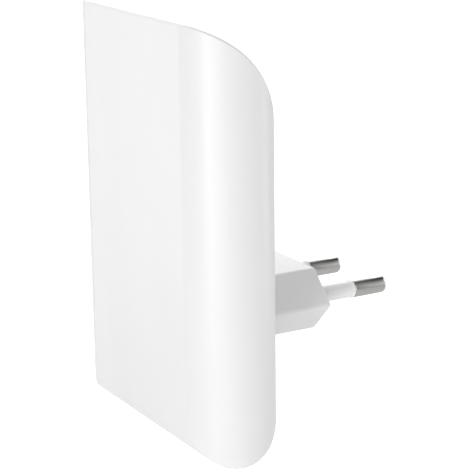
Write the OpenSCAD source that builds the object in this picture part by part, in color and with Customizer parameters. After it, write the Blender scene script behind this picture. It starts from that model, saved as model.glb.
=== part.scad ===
// Plug-in wifi range extender with a two-pin plug on its back.
// The origin is the centre of the plug's end face. The pins point along +Y and +Z is up.
// Inside the modules, places are given as x, depth behind the front face, height over the
// underside; in_case() moves them to the origin.

/* [Case] */
// Width of the case over its round sides
case_w = 61; // [58:1:70]
// Height of the case from its underside to its top front edge
case_h = 91.5; // [88:0.5:110]
// Depth of the case from front to back
case_t = 20.6; // [20:0.1:24]
// Wall thickness of the case
wall = 2; // [1.6:0.1:2.2]
// Radius of the underside where it meets the front
under_front_r = 7.8; // [6:0.2:9]
// Radius of the long slope at the top
slope_r = 31; // [29:0.5:38]
// Radius of the top front edge
edge_r = 0.7; // [0.3:0.1:1]

/* [Plug] */
// Length of the plug's moulding behind the case
plug_len = 17.4; // [15:0.2:22]
// Width of the plug's moulding over its side ridges
plug_w = 35.3; // [34:0.1:36]
// Height of the plug's moulding
plug_h = 13.7; // [13:0.1:14.4]
// Height of the plug's centre over the underside of the case
plug_z = 27; // [26:0.5:32]
// Distance between the pins
pin_pitch = 18.6; // [18:0.1:19.2]
// Diameter of the bare end of a pin
pin_d = 4; // [3.9:0.02:4.1]
// Length of a pin in front of the plug's end face
pin_len = 19; // [18.5:0.5:19.5]
// Length of a pin's insulating sleeve
sleeve_len = 10.4; // [9:0.1:11]

/* [Buttons and light] */
// Length of the pairing button
button_l = 12; // [9:0.5:14]
// Width of the pairing button
button_w = 5; // [4:0.5:5.5]
// Travel of the pairing button
button_travel = 0.5; // [0.3:0.1:0.8]
// Diameter of the reset pinhole
pinhole_d = 1.6; // [1.2:0.1:2]
// Diameter of the light guide
guide_d = 2.6; // [2:0.1:3]

/* [Hidden] */

$fn = 72;

// Colours
shell_white = "#f1f2f3";
board_green = "#1f6b3f";
chip_black = "#26272a";
copper = "#b87a43";
tin = "#c9cccf";
nickel = "#a6a6a2";

// Clearances
slide_gap = 0.2;
fit_gap = 0.05;
seam = 0.15;
cut = 1;

// Case outline
side_r = case_t / 2;
flat_x = case_w / 2 - side_r;
under_back_r = case_t - under_front_r;
slope_y = case_t - slope_r;
slope_z = case_h - sqrt(slope_r * slope_r - slope_y * slope_y);
inner_t = case_t - wall;

// Opening in the back that the rear cover fills
back_x = flat_x + 2.5;
back_low = under_back_r - 1.9;
back_high = slope_z + 3.5;
back_r = 6;

// Boards, each given by its front face's depth, its thickness and its edges
power_y = inner_t - 5.4;
power_t = 1.6;
power_x = back_x - 1.5;
power_low = back_low - 1;
power_high = plug_z + 22;
radio_y = 5.4;
radio_t = 1.2;
radio_x = back_x - 1;
radio_low = power_high - 3.7;
radio_high = case_h - 16.5;
radio_back = radio_y + radio_t;
switch_x = radio_x - 4.4;
switch_face = radio_x - 0.6;

// Screws that hold the rear cover
screw_r = 1.1;
screw_head_r = 2.2;
screw_head_h = 1.5;
screw_l = 9;
screw_seat = case_t - 2.4;
tower_r = 3;
tower_floor = 1.4;
boss_r = 2.6;
screw_low = [power_x - 4.5, back_low + 3.5];
screw_high = [switch_x - boss_r + 0.5 - slide_gap, back_high - 9.8];

// Plug
plug_wall = 1.6;
plug_end = 3;
flange_t = 1.6;
flange_x = flat_x - 0.3;
flange_z = 9.2;
flange_y = inner_t - flange_t - fit_gap;
plug_screw = [flange_x - 2.6, flange_z - 2.4];
pin_core_r = 1.5;
pin_back = 8;
pin_tower_r = 3.2;
pin_tower_l = 4.5;
contact_w = 2.4;
contact_t = 0.5;
collar_r = 2.3;
collar_l = 0.6;
collar_seat = 0.6;

// Side switches: their axis runs through the middle of the round side
switch_y = case_t / 2;
light_z = radio_high - 6;
button_z = light_z - button_l / 2 - 3.7;
reset_z = button_z - button_l / 2 - 3.4;
light_y = radio_back + 2.4;
plunger_l = 2.5;
side_inner = case_w / 2 - wall;

// Rear cover's towers and the label's recess
tower_low_y = power_y + power_t + fit_gap;
tower_high_y = screw_seat - tower_floor;
label_low = back_high - 10.5;
label_high = back_high - 3.5;
label_x = 11;
label_t = 0.2;

// Screws through the plug's flange
plug_screw_r = 0.9;
plug_screw_head = 1.6;

// Transformer
core_x = 5.6;
core_z = plug_z + 10.6;
core_half = 8;
core_depth = 10.4;

// Radio board's screws and posts
post_r = 2.2;
board_screw = [flat_x - post_r - 0.5, radio_high - 2.6];
board_screw_r = 0.9;
board_screw_l = radio_y - wall - 0.2;

// Shield over the radio chips, with its pad
shield_low = [-8, radio_low + 5];
shield_high = [12, radio_high - 7];
shield_mid = [(shield_low[0] + shield_high[0]) / 2, (shield_low[1] + shield_high[1]) / 2];
shield_h = 2.6;
shield_t = 0.3;
pad_t = 0.6;
pad_inset = 2;

// Antennas and the sockets of their leads
antenna_y = 4;
antenna_t = 0.8;
antenna_low = radio_high + 2;
antenna_high = case_h - 5.8;
antenna_in = 2;
antenna_out = flat_x + 1.5;
socket_z = radio_high - 2.6;
socket_x = 8;

// Switch plungers
pairing_r = 1.7;
reset_r = 1.2;
reset_l = 3.6;

// Moves from case places to the origin at the plug's end face.
module in_case() {
    translate([0, -plug_len - case_t, -plug_z]) children();
}

// Block from its lowest corner to its highest.
module block(low, high) {
    translate(low) cube(high - low);
}

// Round bar along the depth.
module bar_y(x, z, from, to, r) {
    translate([x, from, z]) rotate([-90, 0, 0]) cylinder(h = to - from, r = r);
}

// Round bar along the width.
module bar_x(from, to, y, z, r) {
    translate([from, y, z]) rotate([0, 90, 0]) cylinder(h = to - from, r = r);
}

// Round bar along the height.
module bar_z(x, y, from, to, r) {
    translate([x, y, from]) cylinder(h = to - from, r = r);
}

// Both sides of the case.
module on_both_sides() {
    children();
    mirror([1, 0, 0]) children();
}

// Flat outline with round corners, centred.
module round_rect(half_x, half_y, r) {
    square([2 * half_x, 2 * (half_y - r)], center = true);
    square([2 * (half_x - r), 2 * half_y], center = true);
    for (sx = [-1, 1], sy = [-1, 1])
        translate([sx * (half_x - r), sy * (half_y - r)]) circle(r = r);
}

// Round bar that follows a list of points, with a ball at each bend.
module lead(points, r) {
    for (i = [0:len(points) - 2]) {
        run = points[i + 1] - points[i];
        length = norm(run);
        turn = atan2(run[1], run[0]);
        tilt = acos(run[2] / length);
        translate(points[i]) rotate([0, tilt, turn])
            cylinder(h = length, r = r, $fn = 24);
    }
    for (i = [1:len(points) - 2]) translate(points[i]) sphere(r = r * 1.05, $fn = 24);
}

// ---- Case ----

// Plan of the case: a flat front and back with full-round sides.
module plan_outline(inset) {
    // The arcs of the hollow are a little large, so they cut its flats and don't just touch.
    bite = inset > 0 ? 0.04 : 0;
    intersection() {
        union() {
            translate([-flat_x, inset]) square([2 * flat_x, case_t - 2 * inset]);
            for (side = [-1, 1])
                translate([side * flat_x, case_t / 2]) circle(r = side_r - inset + bite);
        }
        translate([-case_w, inset]) square([2 * case_w, case_t - 2 * inset]);
    }
}

// Underside: a small radius at the front and a large one at the back.
module above_underside(inset) {
    translate([under_front_r, under_front_r]) circle(r = under_front_r - inset);
    translate([0, under_front_r]) square([under_front_r, case_h]);
    intersection() {
        translate([under_front_r, under_back_r]) circle(r = under_back_r - inset);
        translate([under_front_r, 0]) square([case_t, case_h]);
    }
    translate([under_front_r, under_back_r]) square([case_t, case_h]);
}

// Top: one large radius from the front edge down to the back.
module below_slope(inset) {
    translate([slope_y, slope_z]) circle(r = slope_r - inset);
    square([case_t, slope_z]);
}

// Top front edge. Its arc is a little larger than the tangent one, so it cuts both faces.
module front_edge() {
    bite = 1.03;
    reach = slope_r - edge_r;
    edge_z = slope_z + sqrt(reach * reach - (edge_r - slope_y) * (edge_r - slope_y));
    meet_y = slope_y + (edge_r - slope_y) * slope_r / reach;
    meet_z = slope_z + (edge_z - slope_z) * slope_r / reach;
    translate([edge_r, edge_z]) circle(r = edge_r * bite);
    polygon([[0, 0], [0, edge_z], [edge_r, edge_z], [meet_y, meet_z],
        [meet_y, case_h + cut], [case_t, case_h + cut], [case_t, 0]]);
}

// Side outline of the case, drawn as depth against height.
module side_outline(inset) {
    intersection() {
        translate([inset, 0]) square([case_t - 2 * inset, case_h + cut]);
        above_underside(inset);
        below_slope(inset);
        if (inset <= 0) front_edge();
    }
}

module case_solid(inset) {
    intersection() {
        translate([-case_w, 0, 0]) rotate([90, 0, 90])
            linear_extrude(height = 2 * case_w) side_outline(inset);
        translate([0, 0, -cut]) linear_extrude(height = case_h + 2 * cut)
            plan_outline(inset);
    }
}

// Outline of the rear cover, grown on every side, as a block along the depth.
module back_block(grow, from, to) {
    half_z = (back_high - back_low) / 2;
    translate([0, to, back_low + half_z]) rotate([90, 0, 0])
        linear_extrude(height = to - from)
            round_rect(back_x + grow, half_z + grow, back_r + grow);
}

// Obround block along the width, through the left side.
module button_block(half_w, half_l, from, to) {
    translate([from, switch_y, button_z]) rotate([90, 0, 90])
        linear_extrude(height = to - from) round_rect(half_w, half_l, half_w - 0.01);
}

// Row of vent slots under the case.
module under_vents() {
    slot_w = 1.4;
    slot_pitch = 4;
    for (i = [-3:3])
        translate([i * slot_pitch - slot_w / 2, under_front_r + 1, -cut])
            cube([slot_w, 7, wall + 3]);
}

module front_cover() {
    color(shell_white) in_case() {
        difference() {
            case_solid(0);
            case_solid(wall);
            back_block(seam, inner_t - cut, case_t + cut);
            under_vents();
            button_block(button_w / 2 + slide_gap, button_l / 2 + slide_gap,
                -case_w / 2 - cut, -side_inner + 3);
            bar_x(-case_w / 2 - cut, -side_inner + 3, switch_y, reset_z, pinhole_d / 2);
            bar_x(-case_w / 2 - cut, -side_inner + 3, light_y, light_z,
                guide_d / 2 + fit_gap);
        }
        on_both_sides() {
            front_boss(screw_low, power_y - fit_gap, boss_r);
            front_boss(screw_high, radio_y - fit_gap, boss_r + 0.6);
            front_boss(screw_high, power_y + power_t - fit_gap, boss_r - 0.5);
            board_post();
            antenna_rib();
        }
    }
}

// Boss on the inside of the front wall, with a hole for a screw.
module front_boss(place, to, r) {
    difference() {
        bar_y(place[0], place[1], wall / 2, to, r);
        bar_y(place[0], place[1], wall, to + cut, screw_r + fit_gap);
    }
}

// Post under an upper corner of the radio board.
module board_post() {
    difference() {
        bar_y(board_screw[0], board_screw[1], wall / 2, radio_y - fit_gap, post_r);
        bar_y(board_screw[0], board_screw[1], wall, radio_y + cut, board_screw_r + fit_gap);
    }
}

// Rib that the antenna's plate stands against.
module antenna_rib() {
    rib_w = 1.2;
    for (x = [antenna_in + 3, antenna_out - 4])
        block([x, wall / 2, antenna_low + 1], [x + rib_w, antenna_y - fit_gap, antenna_high - 1]);
}

// Tower inside the rear cover around a case screw.
module cover_tower(place, to) {
    bar_y(place[0], place[1], to, inner_t + wall / 2, tower_r);
}

module cover_screw_hole(place, to) {
    bar_y(place[0], place[1], screw_seat, case_t + cut, screw_head_r + fit_gap * 3);
    bar_y(place[0], place[1], to - cut, case_t, screw_r + 0.15);
}

// Outline of the plug's moulding, drawn as width against height.
module plug_outline(inset) {
    // A flat side moves in by the inset, a ridge by the inset over the cosine of 45 degrees.
    half_h = plug_h / 2 - inset;
    ridge = plug_w / 2 - inset * sqrt(2);
    corner = ridge - half_h;
    polygon([[ridge, 0], [corner, half_h], [-corner, half_h],
        [-ridge, 0], [-corner, -half_h], [corner, -half_h]]);
}

// The plug's outline as a block along the depth.
module plug_block(inset, from, to) {
    translate([0, to, plug_z]) rotate([90, 0, 0])
        linear_extrude(height = to - from) plug_outline(inset);
}

// Vent slots through the rear cover, over the plug.
module back_vents() {
    slot_w = 1.4;
    slot_pitch = 3.2;
    for (i = [0:2])
        translate([-10, inner_t - cut, plug_z + plug_h / 2 + 6.2 + i * slot_pitch])
            cube([20, wall + 2 * cut, slot_w]);
}

// Snap tabs that hold the rear cover under the edge of the front cover.
module snap_tabs() {
    tab_w = 6;
    tab_t = 1.1;
    reach = 0.9;
    for (z = [plug_z + 9, plug_z + 24])
        block([back_x - tab_t, inner_t - 2.6, z], [back_x, inner_t + wall / 4, z + tab_w]);
    for (z = [plug_z + 9, plug_z + 24])
        block([back_x - tab_t, inner_t - 2.6, z + 1],
            [back_x + reach, inner_t - 1.6, z + tab_w - 1]);
}

module rear_cover() {
    color(shell_white) in_case() {
        difference() {
            union() {
                intersection() {
                    case_solid(0);
                    back_block(0, inner_t, case_t + cut);
                }
                on_both_sides() {
                    cover_tower(screw_low, tower_low_y);
                    cover_tower(screw_high, tower_high_y);
                    snap_tabs();
                }
            }
            plug_block(-fit_gap, flange_y, case_t + cut);
            on_both_sides() {
                cover_screw_hole(screw_low, tower_low_y);
                cover_screw_hole(screw_high, tower_high_y);
            }
            for (side = [-1, 1])
                bar_y(side * plug_screw[0], plug_z + side * plug_screw[1],
                    inner_t - cut, case_t - 0.6, plug_screw_r + fit_gap);
            back_vents();
            block([-label_x - fit_gap, case_t - label_t, label_low - fit_gap],
                [label_x + fit_gap, case_t + cut, label_high + fit_gap]);
        }
    }
}

module rating_label() {
    color("#d5d8dc") in_case()
        block([-label_x, case_t - label_t, label_low], [label_x, case_t, label_high]);
}

// Pan-head screw along the depth, its head at the back.
module screw_y(x, z, seat, length, r, head_r, head_h) {
    slot_w = 0.6;
    difference() {
        union() {
            bar_y(x, z, seat - length, seat, r);
            bar_y(x, z, seat, seat + head_h, head_r);
        }
        for (turn = [0, 90])
            translate([x, seat + head_h, z]) rotate([0, turn, 0])
                cube([head_r * 1.3, head_h, slot_w], center = true);
    }
}

module case_screws() {
    color(tin) in_case() on_both_sides() {
        screw_y(screw_low[0], screw_low[1], screw_seat, screw_l, screw_r,
            screw_head_r, screw_head_h);
        screw_y(screw_high[0], screw_high[1], screw_seat, screw_l, screw_r,
            screw_head_r, screw_head_h);
    }
}

// ---- Plug ----

module plug_body() {
    face = case_t + plug_len;
    color(shell_white) in_case() difference() {
        union() {
            plug_block(0, flange_y, face);
            block([-flange_x, flange_y, plug_z - flange_z],
                [flange_x, flange_y + flange_t, plug_z + flange_z]);
        }
        plug_block(plug_wall, flange_y - cut, face - plug_end);
        on_both_sides()
            bar_y(pin_pitch / 2, plug_z, face - plug_end - cut, face + cut,
                pin_core_r + fit_gap);
        on_both_sides()
            bar_y(pin_pitch / 2, plug_z, face - collar_seat - fit_gap, face + cut,
                collar_r + fit_gap);
        for (side = [-1, 1])
            bar_y(side * plug_screw[0], plug_z + side * plug_screw[1],
                flange_y - cut, inner_t + cut, plug_screw_r + 0.15);
    }
    color(shell_white) in_case() on_both_sides() difference() {
        bar_y(pin_pitch / 2, plug_z, face - pin_tower_l, face - plug_end, pin_tower_r);
        bar_y(pin_pitch / 2, plug_z, face - pin_tower_l - cut, face, pin_core_r + fit_gap);
    }
}

module plug_screws() {
    screw_len = flange_t + 1.2;
    color(tin) in_case() for (side = [-1, 1])
        translate([side * plug_screw[0], 0, plug_z + side * plug_screw[1]])
            translate([0, flange_y, 0]) mirror([0, 1, 0])
                screw_y(0, 0, 0, screw_len, plug_screw_r, plug_screw_head, 0.9);
}

// One pin: a thin core under the sleeve and a full-width rounded end.
module pin(side) {
    tip_r = 1.2;
    r = pin_d / 2;
    translate([side * pin_pitch / 2, 0, 0]) rotate([-90, 0, 0]) {
        translate([0, 0, -pin_back]) cylinder(h = pin_back + sleeve_len, r = pin_core_r);
        translate([0, 0, sleeve_len]) cylinder(h = pin_len - tip_r - sleeve_len, r = r);
        translate([0, 0, pin_len - tip_r]) rotate_extrude() {
            square([r - tip_r, tip_r]);
            intersection() {
                translate([r - tip_r, 0]) circle(r = tip_r);
                square([r, tip_r]);
            }
        }
    }
}

module live_pin() {
    color(nickel) pin(1);
}

module neutral_pin() {
    color(nickel) pin(-1);
}

// Sleeve on a pin, with a collar seated in the plug's end and a fine ring at its own end.
module sleeve(side) {
    sleeve_r = 1.85;
    ring_l = 0.3;
    inner_r = pin_core_r + fit_gap;
    length = sleeve_len - fit_gap;
    translate([side * pin_pitch / 2, 0, 0]) rotate([-90, 0, 0]) difference() {
        union() {
            cylinder(h = length, r = sleeve_r);
            translate([0, 0, -collar_seat])
                cylinder(h = collar_seat + collar_l, r = collar_r);
            translate([0, 0, length - 2 * ring_l])
                cylinder(h = ring_l, r1 = sleeve_r, r2 = pin_d / 2);
            translate([0, 0, length - ring_l])
                cylinder(h = ring_l, r1 = pin_d / 2, r2 = sleeve_r + fit_gap);
        }
        translate([0, 0, -cut]) cylinder(h = length + 2 * cut, r = inner_r);
    }
}

module live_sleeve() {
    color("#dfe1e3") sleeve(1);
}

module neutral_sleeve() {
    color("#dfe1e3") sleeve(-1);
}

// Brass strip from a pin's inner end, through the power board.
module contact(side) {
    clip_l = 2.6;
    clip_r = 2.3;
    strip_low = pin_core_r + 0.15;
    strip_end = -plug_len - case_t + power_y - 0.6;
    translate([side * pin_pitch / 2, 0, 0]) difference() {
        union() {
            rotate([90, 0, 0]) translate([0, 0, pin_tower_l + 0.4])
                cylinder(h = clip_l, r = clip_r);
            translate([-contact_w / 2, strip_end, strip_low])
                cube([contact_w, -strip_end - pin_tower_l - 1, contact_t]);
        }
        rotate([90, 0, 0]) cylinder(h = pin_back + cut, r = pin_core_r + fit_gap);
    }
}

module live_contact() {
    color("#c9a24b") contact(1);
}

module neutral_contact() {
    color("#c9a24b") contact(-1);
}

// Slot around a contact's strip.
module contact_slot(gap, from, to) {
    strip_z = plug_z + pin_core_r + 0.15;
    on_both_sides()
        block([pin_pitch / 2 - contact_w / 2 - gap, from, strip_z - gap],
            [pin_pitch / 2 + contact_w / 2 + gap, to, strip_z + contact_t + gap]);
}

module insulation_sheet() {
    sheet_t = 0.3;
    from = power_y + power_t + 1;
    color("#e9e4cf") in_case() difference() {
        block([-power_x + 1, from, power_low + 1], [power_x - 1, from + sheet_t, power_high - 1]);
        contact_slot(0.3, from - cut, from + cut);
        on_both_sides() bar_y(screw_low[0], screw_low[1], from - cut, from + cut, tower_r + 0.3);
        for (side = [-1, 1])
            bar_y(side * plug_screw[0], plug_z + side * plug_screw[1], from - cut, from + cut,
                plug_screw_head + 0.4);
    }
}

// ---- Power supply ----

module power_board() {
    color(board_green) in_case() difference() {
        block([-power_x, power_y, power_low], [power_x, power_y + power_t, power_high]);
        contact_slot(0.1, power_y - cut, power_y + power_t + cut);
        on_both_sides()
            bar_y(screw_low[0], screw_low[1], power_y - cut, power_y + power_t + cut,
                screw_r + 0.2);
    }
}

// Leads from a part through the power board.
module power_leads(places, from, r) {
    for (place = places)
        bar_y(place[0], place[1], from, power_y - fit_gap, r);
}

module fuse() {
    fuse_r = 1.8;
    half_l = 4.5;
    cap_l = 1.8;
    y = power_y - fuse_r - 0.5;
    z = power_low + 3;
    color("#d9d2b8") in_case() {
        bar_x(-6 - half_l + cap_l, -6 + half_l - cap_l, y, z, fuse_r - 0.15);
        for (x = [-6 - half_l, -6 + half_l - cap_l]) bar_x(x, x + cap_l, y, z, fuse_r);
        power_leads([[-6 - half_l + 0.9, z], [-6 + half_l - 0.9, z]], y, 0.35);
    }
}

module line_choke() {
    drum_r = 3.4;
    waist_r = 2.8;
    drum_l = 8;
    end_l = 0.9;
    x = 3.5;
    z = power_low + 4.2;
    from = power_y - drum_l - 0.5;
    color(copper) in_case() {
        bar_y(x, z, from, from + end_l, drum_r);
        bar_y(x, z, from + drum_l - end_l, from + drum_l, drum_r);
        bar_y(x, z, from, from + drum_l, waist_r);
        power_leads([[x - 2, z], [x + 2, z]], from + drum_l - end_l, 0.35);
    }
}

// Low moulded chip with a row of short legs on its two long sides.
module chip(centre, half_x, half_z, height, board, face, legs, leg_pitch) {
    leg_w = 0.4;
    leg_out = 0.8;
    low = face > 0 ? board + 0.05 : board - height;
    high = face > 0 ? board + height : board - 0.05;
    block([centre[0] - half_x, low, centre[1] - half_z], [centre[0] + half_x, high, centre[1] + half_z]);
    for (i = [0:legs - 1]) {
        z = centre[1] + (i - (legs - 1) / 2) * leg_pitch;
        leg_low = face > 0 ? board + 0.05 : board - height / 2;
        leg_high = face > 0 ? board + height / 2 : board - 0.05;
        block([centre[0] - half_x - leg_out, leg_low, z - leg_w / 2],
            [centre[0] + half_x + leg_out, leg_high, z + leg_w / 2]);
    }
}

module bridge_rectifier() {
    color(chip_black) in_case()
        chip([-4.6, plug_z - 7.2], 2, 2.4, 2.4, power_y, -1, 2, 2.5);
}

module switching_chip() {
    color(chip_black) in_case()
        chip([1.6, plug_z - 1.5], 3.2, 4.6, 3.2, power_y, -1, 4, 2.4);
}

module optocoupler() {
    color(chip_black) in_case()
        chip([power_x - 3.8, plug_z + 12], 2.2, 3, 3.2, power_y, -1, 2, 2.5);
}

// Electrolytic capacitor that stands on the power board.
module can_capacitor(x, z, r, height) {
    groove_y = power_y - 1.9;
    from = power_y - 0.4 - height;
    difference() {
        bar_y(x, z, from, power_y - 0.4, r);
        difference() {
            bar_y(x, z, groove_y - 0.4, groove_y + 0.4, r + cut);
            bar_y(x, z, groove_y - cut, groove_y + cut, r - 0.3);
        }
    }
    power_leads([[x - r / 2, z], [x + r / 2, z]], power_y - 0.5, 0.3);
}

module input_capacitors() {
    color("#2b3f63") in_case() {
        can_capacitor(-power_x + 4.6, plug_z - 2.5, 4, 10);
        can_capacitor(-power_x + 4.6, plug_z + 6.2, 4, 10);
    }
}

module output_capacitor() {
    color("#3a3d42") in_case()
        can_capacitor(-power_x + 9.6, plug_z + 14, 4, 9.5);
}

// E core halves around the bobbin.
module transformer_core() {
    half_z = 5.8;
    leg = 1.9;
    core_w = 4.2;
    y = power_y - core_depth;
    color("#3c3b3a") in_case() difference() {
        block([core_x - core_half, y + 2.4, core_z - half_z],
            [core_x + core_half, y + 2.4 + core_w, core_z + half_z]);
        block([core_x - core_half + leg, y + 2.4 - cut, core_z - half_z + leg],
            [core_x + core_half - leg, y + 2.4 + core_w + cut, core_z + half_z - leg]);
    }
}

// Taped winding on its bobbin, with pins into the board.
module transformer_winding() {
    gap = 0.1;
    half_x = core_half - 1.9 - gap;
    half_z = 3.9 - gap;
    y = power_y - core_depth;
    color("#d8b53a") in_case() {
        block([core_x - half_x, y, core_z - half_z], [core_x + half_x, power_y - 1.6, core_z + half_z]);
        block([core_x - half_x, power_y - 1.9, core_z - half_z],
            [core_x + half_x, power_y - 0.3, core_z + half_z]);
        power_leads([for (i = [-2:2], s = [-1, 1]) [core_x + i * 2.4, core_z + s * 3]],
            power_y - 0.4, 0.3);
    }
}

module noise_capacitor() {
    disc_r = 3.6;
    disc_t = 2.6;
    x = power_x - 4.4;
    y = power_y - disc_r - 1.4;
    z = plug_z - 6.5;
    color("#2f6fae") in_case() {
        bar_z(x, y, z - disc_t / 2, z + disc_t / 2, disc_r);
        power_leads([[x - 2.4, z], [x + 2.4, z]], y, 0.3);
    }
}

// Four-pin header that joins the two boards.
module board_header() {
    pitch = 2.54;
    pin_half = 0.32;
    z = (power_high + radio_low) / 2;
    x0 = -switch_x + 2.4;
    color(chip_black) in_case() {
        block([x0 - 1.2, power_y - 2.5, z - 1.2], [x0 + 3 * pitch + 1.2, power_y - 0.05, z + 1.2]);
        for (i = [0:3])
            block([x0 + i * pitch - pin_half, radio_back + 0.05, z - pin_half],
                [x0 + i * pitch + pin_half, power_y - 2.4, z + pin_half]);
    }
}

// ---- Radio ----

module radio_board() {
    color(board_green) in_case() difference() {
        block([-radio_x, radio_y, radio_low], [radio_x, radio_back, radio_high]);
        on_both_sides() {
            bar_y(screw_high[0], screw_high[1], radio_y - cut, radio_back + cut, boss_r - 0.3);
            bar_y(board_screw[0], board_screw[1], radio_y - cut, radio_back + cut,
                board_screw_r + 0.2);
        }
    }
}

module board_screws() {
    color(tin) in_case() on_both_sides()
        screw_y(board_screw[0], board_screw[1], radio_back + fit_gap, board_screw_l + radio_t,
            board_screw_r, 1.7, 1);
}

module rf_shield() {
    color(tin) in_case() difference() {
        block([shield_low[0], radio_back + fit_gap, shield_low[1]],
            [shield_high[0], radio_back + shield_h, shield_high[1]]);
        block([shield_low[0] + shield_t, radio_back - cut, shield_low[1] + shield_t],
            [shield_high[0] - shield_t, radio_back + shield_h - shield_t,
                shield_high[1] - shield_t]);
    }
}

module processor_chip() {
    half = 4.5;
    color(chip_black) in_case()
        block([shield_mid[0] - half + 3, radio_back + 0.05, shield_mid[1] - half],
            [shield_mid[0] + half + 3, radio_back + 1.2, shield_mid[1] + half]);
}

module memory_chips() {
    color(chip_black) in_case() for (z = [-4, 4])
        chip([shield_mid[0] - 6, shield_mid[1] + z], 1.8, 2.4, 1.1, radio_back, 1, 4, 1.2);
}

module crystal() {
    low = radio_high - 13.25;
    color(tin) in_case()
        block([shield_high[0] + 1.2, radio_back + 0.05, low],
            [shield_high[0] + 3.7, radio_back + 0.9, low + 3.2]);
}

module thermal_pad() {
    color("#8aa0b8") in_case()
        block([shield_low[0] + pad_inset, radio_back + shield_h, shield_low[1] + pad_inset],
            [shield_high[0] - pad_inset, radio_back + shield_h + pad_t,
                shield_high[1] - pad_inset]);
}

module heat_spreader() {
    plate_t = 1;
    fin_h = 2.6;
    fin_t = 0.8;
    fins = 6;
    y = radio_back + shield_h + pad_t;
    pitch = (shield_high[0] - shield_low[0] - fin_t) / (fins - 1);
    color("#b9bcc0") in_case() {
        block([shield_low[0], y, shield_low[1]], [shield_high[0], y + plate_t, shield_high[1]]);
        for (i = [0:fins - 1])
            block([shield_low[0] + i * pitch, y + plate_t / 2, shield_low[1]],
                [shield_low[0] + i * pitch + fin_t, y + plate_t + fin_h, shield_high[1]]);
    }
}

// Snap sockets on the radio board for the antenna leads.
module antenna_sockets() {
    color("#d8b25a") in_case() on_both_sides() difference() {
        bar_y(socket_x, socket_z, radio_back + 0.05, radio_back + 1.4, 1.1);
        bar_y(socket_x, socket_z, radio_back + 0.9, radio_back + 1.4 + cut, 0.6);
    }
}

// Antenna plate: a small board with a slotted copper layer.
module antenna_plate() {
    foil_t = 0.1;
    mid = (antenna_low + antenna_high) / 2;
    block([antenna_in, antenna_y, antenna_low], [antenna_out, antenna_y + antenna_t, antenna_high]);
    difference() {
        block([antenna_in + 1, antenna_y + antenna_t - foil_t, antenna_low + 1],
            [antenna_out - 1, antenna_y + antenna_t + foil_t, antenna_high - 1]);
        for (i = [0:2])
            block([antenna_in + 4 + i * 4.4, antenna_y + antenna_t, antenna_low - cut],
                [antenna_in + 5.2 + i * 4.4, antenna_y + antenna_t + cut,
                    mid + 0.6]);
    }
}

module antenna_left() {
    color(copper) in_case() mirror([1, 0, 0]) antenna_plate();
}

module antenna_right() {
    color(copper) in_case() antenna_plate();
}

// Thin coaxial lead from a socket, over the board's top edge, to the antenna.
module antenna_lead() {
    lead_r = 0.5;
    over = radio_back + 2.2;
    feed_y = antenna_y + antenna_t + lead_r + 0.15;
    feed_x = antenna_in + 2.4;
    lead([[socket_x, radio_back + 1.45, socket_z], [socket_x, over, socket_z],
        [socket_x - 2, over, socket_z + 3.6], [feed_x, feed_y + 0.8, antenna_low - 0.3],
        [feed_x, feed_y, antenna_low + 2.6]], lead_r);
}

module antenna_lead_left() {
    color("#4a4d52") in_case() mirror([1, 0, 0]) antenna_lead();
}

module antenna_lead_right() {
    color("#4a4d52") in_case() antenna_lead();
}

// Side-looking status light on the edge of the radio board.
module status_light() {
    half = 1.5;
    lens_r = 1.1;
    from = -radio_x + 0.8;
    color("#dfeee4") in_case() {
        block([from, radio_back + 0.05, light_z - half], [from + 2.2, light_y + half, light_z + half]);
        bar_x(from - 0.9, from + 0.1, light_y, light_z, lens_r);
    }
}

// Clear rod from the status light to the side of the case.
module light_guide() {
    stop_r = guide_d / 2 + 0.8;
    stop_x = flat_x + sqrt(pow(side_r - wall, 2) - pow(case_t / 2 - light_y + stop_r, 2)) - 0.4;
    color("#e6f2f4") in_case() intersection() {
        case_solid(0);
        union() {
            bar_x(-case_w / 2 - cut, -radio_x - 0.4, light_y, light_z, guide_d / 2);
            bar_x(-stop_x, -stop_x + 1, light_y, light_z, stop_r);
        }
    }
}

// ---- Side switches ----

// Upright switch body with two legs and a frame, its axis along the width.
module switch_body(z, half_z) {
    block([-switch_face, radio_back + 0.8, z - half_z], [-switch_x, power_y, z + half_z]);
    for (side = [-1, 1])
        block([-switch_x - 0.8, radio_back + 0.05, z + side * (half_z - 0.4) - 0.4],
            [-switch_x, radio_back + 1, z + side * (half_z - 0.4) + 0.4]);
}

// Socket in the switch body, so that the plunger can sink in.
module plunger_socket(z, r) {
    bar_x(-switch_face - cut, -switch_face + button_travel + 0.3, switch_y, z, r + slide_gap);
}

module pairing_switch() {
    color("#33363b") in_case() difference() {
        switch_body(button_z, 3);
        plunger_socket(button_z, pairing_r);
    }
}

module pairing_plunger() {
    color("#c8b48a") in_case() bar_x(-switch_face - plunger_l, -switch_face + 0.2, switch_y,
        button_z, pairing_r);
}

module reset_switch() {
    color("#33363b") in_case() difference() {
        switch_body(reset_z, 2.2);
        plunger_socket(reset_z, reset_r);
    }
}

module reset_plunger() {
    color("#c8b48a") in_case() bar_x(-switch_face - reset_l, -switch_face + 0.2, switch_y,
        reset_z, reset_r);
}

// Pairing button: an obround cap that follows the side, a flange behind the wall and a post.
module pairing_button() {
    proud = 0.4;
    flange_w = button_w / 2 + 0.8;
    flange_l = button_l / 2 + 1.4;
    flange_out = flat_x + sqrt(pow(side_r - wall, 2) - pow(flange_w, 2)) - slide_gap;
    color("#e3e5e8") in_case() {
        intersection() {
            case_solid(-proud);
            button_block(button_w / 2, button_l / 2, -case_w / 2 - cut, -flange_out + 0.5);
        }
        button_block(flange_w, flange_l, -flange_out, -flange_out + 1);
        bar_x(-flange_out + 0.5, -switch_face - plunger_l - fit_gap, switch_y, button_z, 1.4);
    }
}

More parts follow.
